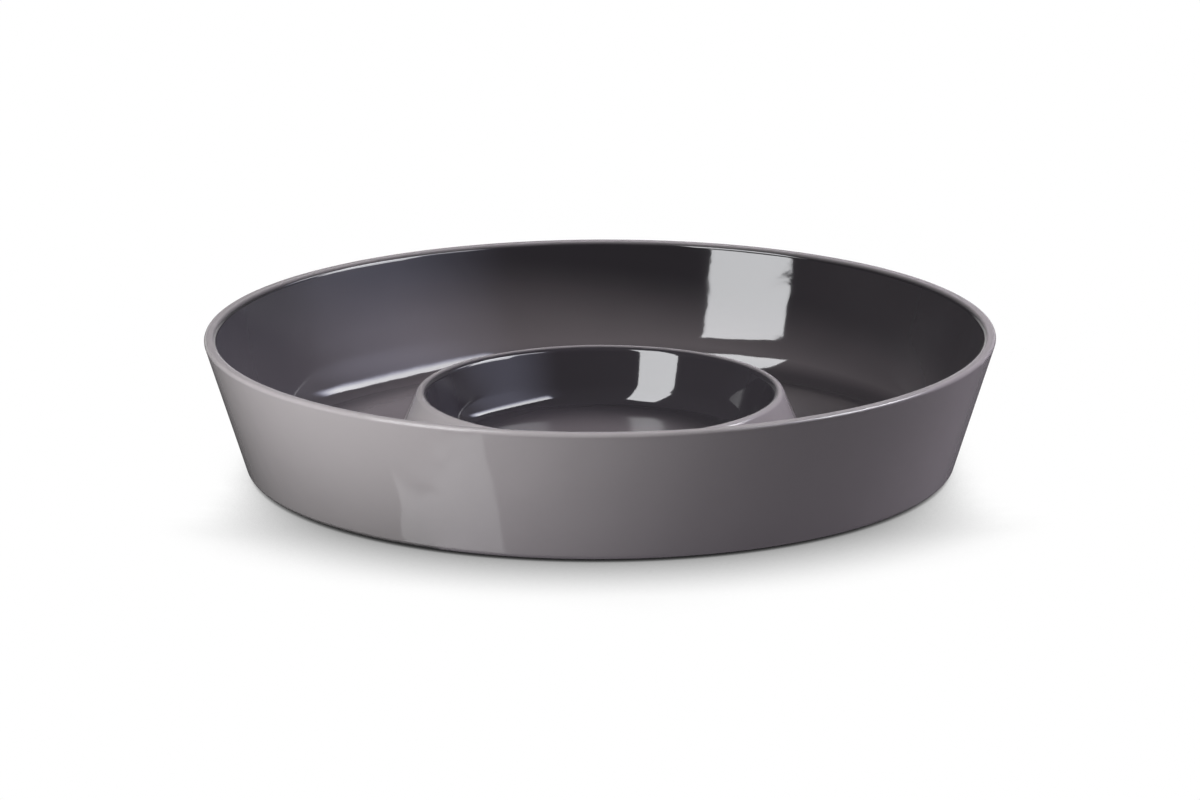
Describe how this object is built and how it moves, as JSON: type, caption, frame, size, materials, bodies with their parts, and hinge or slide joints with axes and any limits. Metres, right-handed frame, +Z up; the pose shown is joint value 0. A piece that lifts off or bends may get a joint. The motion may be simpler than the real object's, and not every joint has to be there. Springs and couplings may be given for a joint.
{
  "type": "chip and dip platter",
  "caption": "Round glazed stoneware serving platter: a flat tray inside a straight flared wall, with a lower ring wall in the middle that makes a dip well.",
  "frame": {"origin": "centre of the foot ring's underside, on the table", "axes": "+Z up along the dish's axis of revolution; X and Y level"},
  "size_m": [0.32, 0.32, 0.056],
  "materials": {
    "bare_stoneware": "unglazed, matt, fine sandy grain",
    "pale_glaze": "high gloss, pale warm mauve grey, paler where it thins over edges",
    "tray_glaze": "high gloss, charcoal below the rim fading to mid grey towards the floor",
    "well_glaze": "high gloss, charcoal on the wall fading to mid grey on the floor"
  },
  "bodies": {
    "root": {"base_disc": "bare_stoneware", "outer_wall": "bare_stoneware", "dip_bowl": "bare_stoneware", "foot_ring": "bare_stoneware", "outside_glaze": "pale_glaze", "tray_glaze": "tray_glaze", "dip_ring_glaze": "pale_glaze", "dip_well_glaze": "well_glaze", "underside_glaze": "pale_glaze"}
  },
  "joints": []
}
